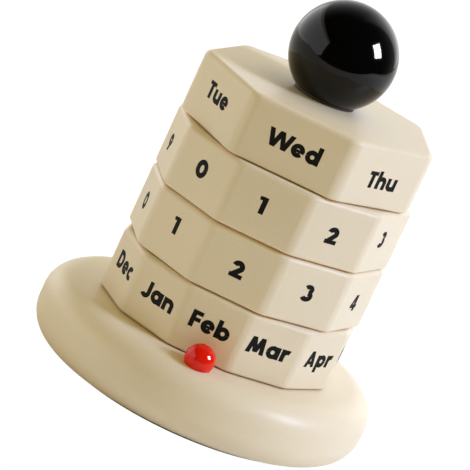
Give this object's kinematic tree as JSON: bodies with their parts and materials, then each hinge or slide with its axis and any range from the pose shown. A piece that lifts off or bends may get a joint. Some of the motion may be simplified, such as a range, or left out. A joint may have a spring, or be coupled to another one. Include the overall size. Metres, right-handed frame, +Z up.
{
  "type": "perpetual desk calendar",
  "caption": "Tower of faceted wooden blocks that turn on a spindle above a round base, under a ball knob; a bead on the base points at the weekday, date and month.",
  "frame": {"origin": "centre of the felt pad's underside, on the spindle's axis", "axes": "+Z up along the spindle; the front, with the bead, faces -Y; +X is the viewer's right"},
  "size_m": [0.097, 0.097, 0.1195],
  "materials": {
    "ivory_lacquer": "satin ivory lacquer",
    "black_gloss": "polished black",
    "red_gloss": "polished red",
    "black_washer": "matte",
    "fibre": "matte",
    "felt": "felt",
    "printing_ink": "black screen-printing ink",
    "steel": "turned",
    "brass": "turned"
  },
  "bodies": {
    "stand": {"base": "ivory_lacquer", "base_pad": "felt", "spindle": "steel", "base_nut": "steel", "lock_washer": "steel", "base_washer": "steel", "base_spacer": "fibre", "month_spacer": "fibre", "units_spacer": "fibre", "tens_spacer": "fibre", "ball_collar": "black_washer", "ball_insert": "brass", "ball_knob": "black_gloss", "marker_bead": "red_gloss", "marker_pin": "steel"},
    "month_ring": {"month_block": "ivory_lacquer"},
    "units_ring": {"units_block": "ivory_lacquer"},
    "tens_ring": {"tens_block": "ivory_lacquer"},
    "weekday_ring": {"weekday_block": "ivory_lacquer"}
  },
  "joints": [
    {"name": "month_turn", "type": "hinge", "parent": "stand", "child": "month_ring", "pos_m": [0, 0, 0.02885], "axis": [0, 0, 1], "continuous": true},
    {"name": "units_turn", "type": "hinge", "parent": "stand", "child": "units_ring", "pos_m": [0, 0, 0.04685], "axis": [0, 0, 1], "continuous": true},
    {"name": "tens_turn", "type": "hinge", "parent": "stand", "child": "tens_ring", "pos_m": [0, 0, 0.06485], "axis": [0, 0, 1], "continuous": true},
    {"name": "weekday_turn", "type": "hinge", "parent": "stand", "child": "weekday_ring", "pos_m": [0, 0, 0.08285], "axis": [0, 0, 1], "continuous": true}
  ]
}
